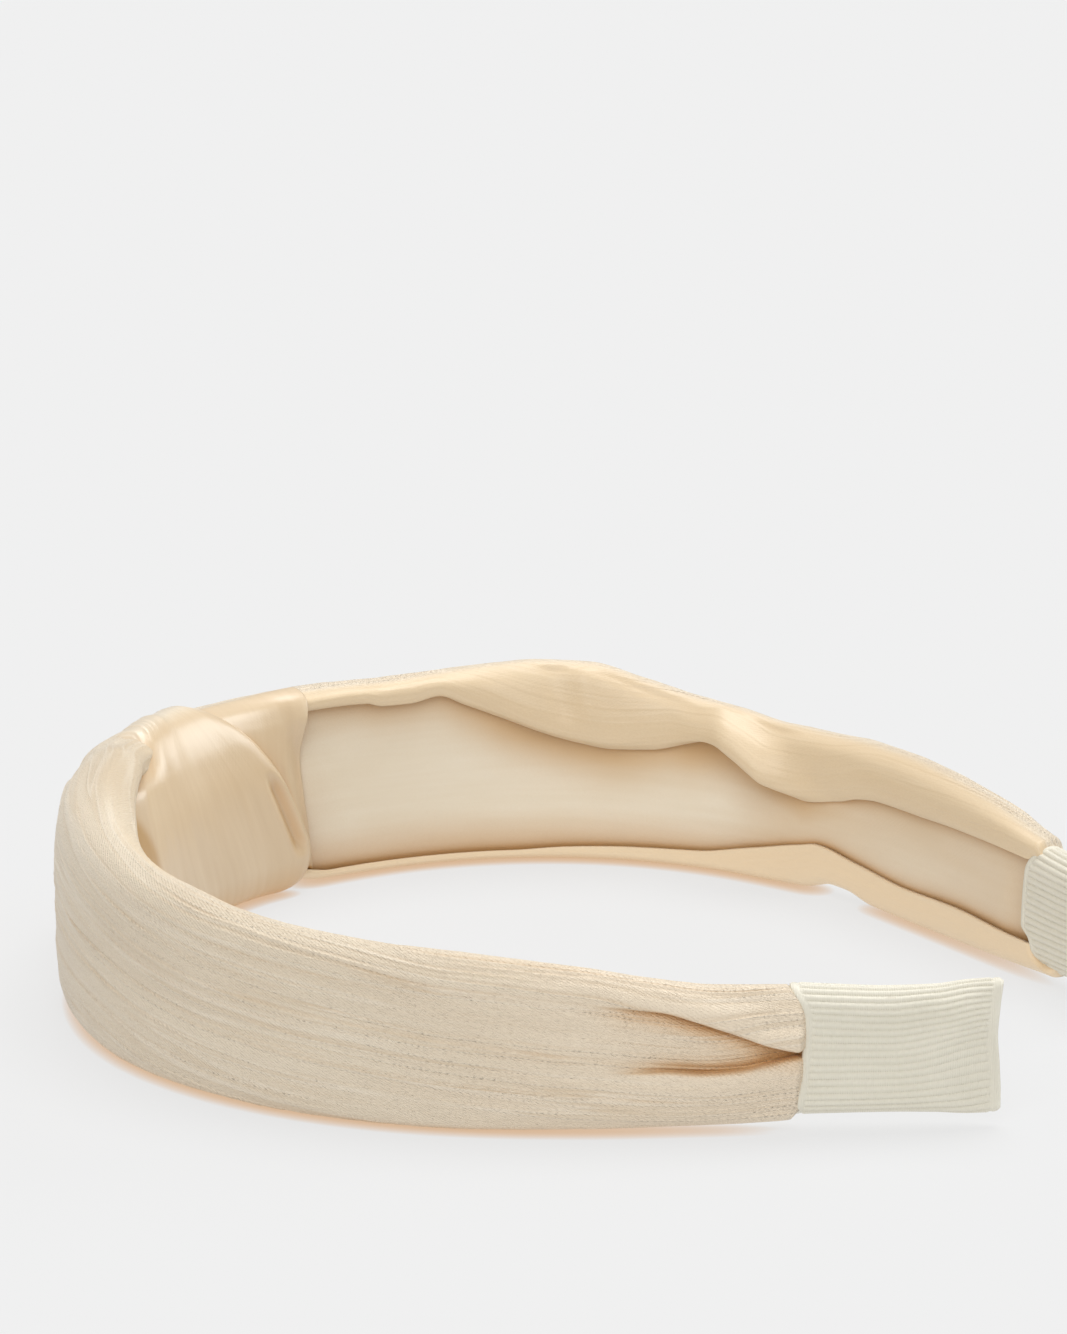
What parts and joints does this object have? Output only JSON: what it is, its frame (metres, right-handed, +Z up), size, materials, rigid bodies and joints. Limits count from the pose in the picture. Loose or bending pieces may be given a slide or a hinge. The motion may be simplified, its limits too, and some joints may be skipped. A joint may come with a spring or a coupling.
{
  "type": "knotted headband",
  "caption": "Padded alice headband covered in gathered crinkle satin, with a knot wrapped round the crown, a smooth inner lining and ribbon-bound tips; the arms spring outward.",
  "frame": {"origin": "centre of the footprint, on the surface that the headband's lower edge rests on", "axes": "+X from the knot toward the open end between the tips; +Y toward the left arm; +Z up, across the band's width"},
  "size_m": [0.1509, 0.1296, 0.0325],
  "materials": {
    "plastic_strip": "matt moulded plastic",
    "wadding": "thin non-woven wadding",
    "satin_lining": "smooth satin, soft sheen",
    "crinkle_satin": "crinkled satin with lengthwise ribs",
    "knot_satin": "crinkled satin, ribs across the band",
    "grosgrain": "ribbed grosgrain ribbon, slight sheen"
  },
  "bodies": {
    "crown": {"core_strip_crown": "plastic_strip", "wadding_crown": "wadding", "lining_crown": "satin_lining", "cover_crown_left": "crinkle_satin", "cover_crown_right": "crinkle_satin", "knot_wrap": "knot_satin", "knot_bundle": "knot_satin"},
    "left_arm": {"core_strip_left_arm": "plastic_strip", "wadding_left_arm": "wadding", "lining_left_arm": "satin_lining", "cover_left_arm": "crinkle_satin", "ribbon_tab_left": "grosgrain"},
    "right_arm": {"core_strip_right_arm": "plastic_strip", "wadding_right_arm": "wadding", "lining_right_arm": "satin_lining", "cover_right_arm": "crinkle_satin", "ribbon_tab_right": "grosgrain"}
  },
  "joints": [
    {"name": "left_arm_flex", "type": "hinge", "parent": "crown", "child": "left_arm", "pos_m": [-0.04865, 0.0427, 0], "axis": [0, 0, 1], "range_deg": [-6, 14], "stiffness_Nm_per_rad": 0.4},
    {"name": "right_arm_flex", "type": "hinge", "parent": "crown", "child": "right_arm", "pos_m": [-0.04865, -0.0427, 0], "axis": [0, 0, -1], "range_deg": [-6, 14], "stiffness_Nm_per_rad": 0.4}
  ]
}
